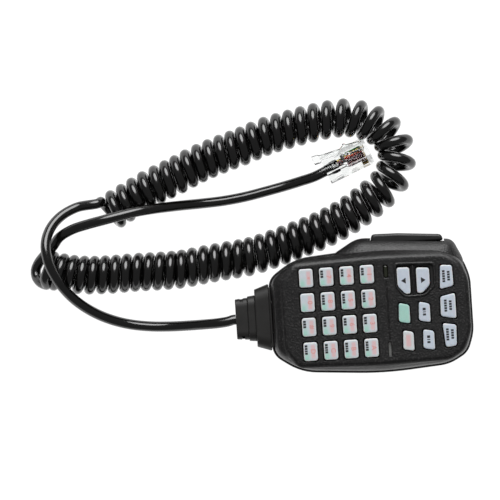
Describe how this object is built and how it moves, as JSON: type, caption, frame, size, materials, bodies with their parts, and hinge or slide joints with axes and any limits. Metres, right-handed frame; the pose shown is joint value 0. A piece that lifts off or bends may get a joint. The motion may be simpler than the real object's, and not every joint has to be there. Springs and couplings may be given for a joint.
{
  "type": "hand microphone",
  "caption": "Black hand microphone with pale keypad keys, a side push-to-talk lever, a back hanger stud, a stepped cord boot, and a curly cord to a clear modular plug.",
  "frame": {"origin": "middle of the outer face of the hanger stud on the back, which the microphone lies on", "axes": "+X from the cord end to the top end, +Y towards the push-to-talk lever, +Z out of the keypad face; the stud's face and the curly cord rest at Z = 0"},
  "size_m": [0.1949, 0.1238, 0.0318],
  "materials": {
    "case_plastic": "fine spark-eroded grain, charcoal black",
    "lever_plastic": "fine grain, black",
    "key_plastic": "pale translucent silicone-coated caps",
    "silicone": "translucent silicone",
    "rubber_black": "matt black elastomer",
    "cord_jacket": "smooth glossy black polyurethane",
    "clear_plastic": "clear polycarbonate",
    "gold": "gold-plated contacts",
    "wire_insulation": "coloured insulation, each lead its own colour",
    "steel": "zinc-plated steel",
    "board": "green solder mask",
    "chip_plastic": "black moulding compound",
    "white_plastic": "off-white nylon",
    "red_plastic": "red nylon plunger",
    "lens": "dark olive translucent lens"
  },
  "bodies": {
    "microphone": {"front_shell": "case_plastic", "rear_shell": "case_plastic", "case_screws": "steel", "hanger_stud": "case_plastic", "hanger_screw": "steel", "ptt_switch": "chip_plastic", "keypad_mat": "silicone", "main_board": "board", "board_screws": "steel", "backlight_leds": "white_plastic", "controller_chip": "chip_plastic", "small_chips": "chip_plastic", "board_socket": "white_plastic", "sound_capsule": "steel", "capsule_holder": "rubber_black", "status_lens": "lens", "status_led": "white_plastic", "inner_leads": "wire_insulation", "cord_stub": "cord_jacket", "cord_tie": "white_plastic", "strain_relief_boot": "rubber_black", "cord_mic_tail": "cord_jacket", "cord_curl": "cord_jacket", "cord_plug_tail": "cord_jacket", "plug_body": "clear_plastic", "plug_contacts": "gold", "plug_wires": "wire_insulation"},
    "lever": {"ptt_lever": "lever_plastic"},
    "plunger": {"ptt_plunger": "red_plastic"},
    "latch": {"plug_latch": "clear_plastic"},
    "key_1": {"key_1": "key_plastic"},
    "key_2": {"key_2": "key_plastic"},
    "key_3": {"key_3": "key_plastic"},
    "key_a": {"key_a": "key_plastic"},
    "key_4": {"key_4": "key_plastic"},
    "key_5": {"key_5": "key_plastic"},
    "key_6": {"key_6": "key_plastic"},
    "key_b": {"key_b": "key_plastic"},
    "key_7": {"key_7": "key_plastic"},
    "key_8": {"key_8": "key_plastic"},
    "key_9": {"key_9": "key_plastic"},
    "key_c": {"key_c": "key_plastic"},
    "key_star": {"key_star": "key_plastic"},
    "key_0": {"key_0": "key_plastic"},
    "key_hash": {"key_hash": "key_plastic"},
    "key_d": {"key_d": "key_plastic"},
    "key_down": {"key_down": "key_plastic"},
    "key_up": {"key_up": "key_plastic"},
    "key_green": {"key_green": "key_plastic"},
    "key_f1": {"key_f1": "key_plastic"},
    "key_red": {"key_red": "key_plastic"},
    "key_f2": {"key_f2": "key_plastic"},
    "key_top_left": {"key_top_left": "key_plastic"},
    "key_top_middle": {"key_top_middle": "key_plastic"},
    "key_top_right": {"key_top_right": "key_plastic"}
  },
  "joints": [
    {"name": "key_1_press", "type": "slide", "parent": "microphone", "child": "key_1", "axis": [0, 0, -1], "range_m": [0, 0.001], "stiffness_N_per_m": 500, "springref_m": -0.001},
    {"name": "key_2_press", "type": "slide", "parent": "microphone", "child": "key_2", "axis": [0, 0, -1], "range_m": [0, 0.001], "stiffness_N_per_m": 500, "springref_m": -0.001},
    {"name": "key_3_press", "type": "slide", "parent": "microphone", "child": "key_3", "axis": [0, 0, -1], "range_m": [0, 0.001], "stiffness_N_per_m": 500, "springref_m": -0.001},
    {"name": "key_a_press", "type": "slide", "parent": "microphone", "child": "key_a", "axis": [0, 0, -1], "range_m": [0, 0.001], "stiffness_N_per_m": 500, "springref_m": -0.001},
    {"name": "key_4_press", "type": "slide", "parent": "microphone", "child": "key_4", "axis": [0, 0, -1], "range_m": [0, 0.001], "stiffness_N_per_m": 500, "springref_m": -0.001},
    {"name": "key_5_press", "type": "slide", "parent": "microphone", "child": "key_5", "axis": [0, 0, -1], "range_m": [0, 0.001], "stiffness_N_per_m": 500, "springref_m": -0.001},
    {"name": "key_6_press", "type": "slide", "parent": "microphone", "child": "key_6", "axis": [0, 0, -1], "range_m": [0, 0.001], "stiffness_N_per_m": 500, "springref_m": -0.001},
    {"name": "key_b_press", "type": "slide", "parent": "microphone", "child": "key_b", "axis": [0, 0, -1], "range_m": [0, 0.001], "stiffness_N_per_m": 500, "springref_m": -0.001},
    {"name": "key_7_press", "type": "slide", "parent": "microphone", "child": "key_7", "axis": [0, 0, -1], "range_m": [0, 0.001], "stiffness_N_per_m": 500, "springref_m": -0.001},
    {"name": "key_8_press", "type": "slide", "parent": "microphone", "child": "key_8", "axis": [0, 0, -1], "range_m": [0, 0.001], "stiffness_N_per_m": 500, "springref_m": -0.001},
    {"name": "key_9_press", "type": "slide", "parent": "microphone", "child": "key_9", "axis": [0, 0, -1], "range_m": [0, 0.001], "stiffness_N_per_m": 500, "springref_m": -0.001},
    {"name": "key_c_press", "type": "slide", "parent": "microphone", "child": "key_c", "axis": [0, 0, -1], "range_m": [0, 0.001], "stiffness_N_per_m": 500, "springref_m": -0.001},
    {"name": "key_star_press", "type": "slide", "parent": "microphone", "child": "key_star", "axis": [0, 0, -1], "range_m": [0, 0.001], "stiffness_N_per_m": 500, "springref_m": -0.001},
    {"name": "key_0_press", "type": "slide", "parent": "microphone", "child": "key_0", "axis": [0, 0, -1], "range_m": [0, 0.001], "stiffness_N_per_m": 500, "springref_m": -0.001},
    {"name": "key_hash_press", "type": "slide", "parent": "microphone", "child": "key_hash", "axis": [0, 0, -1], "range_m": [0, 0.001], "stiffness_N_per_m": 500, "springref_m": -0.001},
    {"name": "key_d_press", "type": "slide", "parent": "microphone", "child": "key_d", "axis": [0, 0, -1], "range_m": [0, 0.001], "stiffness_N_per_m": 500, "springref_m": -0.001},
    {"name": "key_down_press", "type": "slide", "parent": "microphone", "child": "key_down", "axis": [0, 0, -1], "range_m": [0, 0.001], "stiffness_N_per_m": 500, "springref_m": -0.001},
    {"name": "key_up_press", "type": "slide", "parent": "microphone", "child": "key_up", "axis": [0, 0, -1], "range_m": [0, 0.001], "stiffness_N_per_m": 500, "springref_m": -0.001},
    {"name": "key_green_press", "type": "slide", "parent": "microphone", "child": "key_green", "axis": [0, 0, -1], "range_m": [0, 0.001], "stiffness_N_per_m": 500, "springref_m": -0.001},
    {"name": "key_f1_press", "type": "slide", "parent": "microphone", "child": "key_f1", "axis": [0, 0, -1], "range_m": [0, 0.001], "stiffness_N_per_m": 500, "springref_m": -0.001},
    {"name": "key_red_press", "type": "slide", "parent": "microphone", "child": "key_red", "axis": [0, 0, -1], "range_m": [0, 0.001], "stiffness_N_per_m": 500, "springref_m": -0.001},
    {"name": "key_f2_press", "type": "slide", "parent": "microphone", "child": "key_f2", "axis": [0, 0, -1], "range_m": [0, 0.001], "stiffness_N_per_m": 500, "springref_m": -0.001},
    {"name": "key_top_left_press", "type": "slide", "parent": "microphone", "child": "key_top_left", "axis": [0, 0, -1], "range_m": [0, 0.001], "stiffness_N_per_m": 500, "springref_m": -0.001},
    {"name": "key_top_middle_press", "type": "slide", "parent": "microphone", "child": "key_top_middle", "axis": [0, 0, -1], "range_m": [0, 0.001], "stiffness_N_per_m": 500, "springref_m": -0.001},
    {"name": "key_top_right_press", "type": "slide", "parent": "microphone", "child": "key_top_right", "axis": [0, 0, -1], "range_m": [0, 0.001], "stiffness_N_per_m": 500, "springref_m": -0.001},
    {"name": "ptt_press", "type": "hinge", "parent": "microphone", "child": "lever", "pos_m": [-0.004, 0.0274, 0.017], "axis": [0, 0, -1], "range_deg": [0, 3.5], "stiffness_Nm_per_rad": 0.5, "springref_deg": -2.86},
    {"name": "plunger_slide", "type": "slide", "parent": "microphone", "child": "plunger", "axis": [0, -1, 0], "range_m": [0, 0.0013]},
    {"name": "latch_flex", "type": "hinge", "parent": "microphone", "child": "latch", "pos_m": [-0.0076, 0.07453, 0.01003], "axis": [0.2706, -0.6533, 0.7071], "range_deg": [0, 8], "stiffness_Nm_per_rad": 0.3, "springref_deg": -1.15}
  ],
  "couplings": [
    {"joint": "plunger_slide", "follows": "ptt_press", "m_per_rad": 0.02}
  ]
}
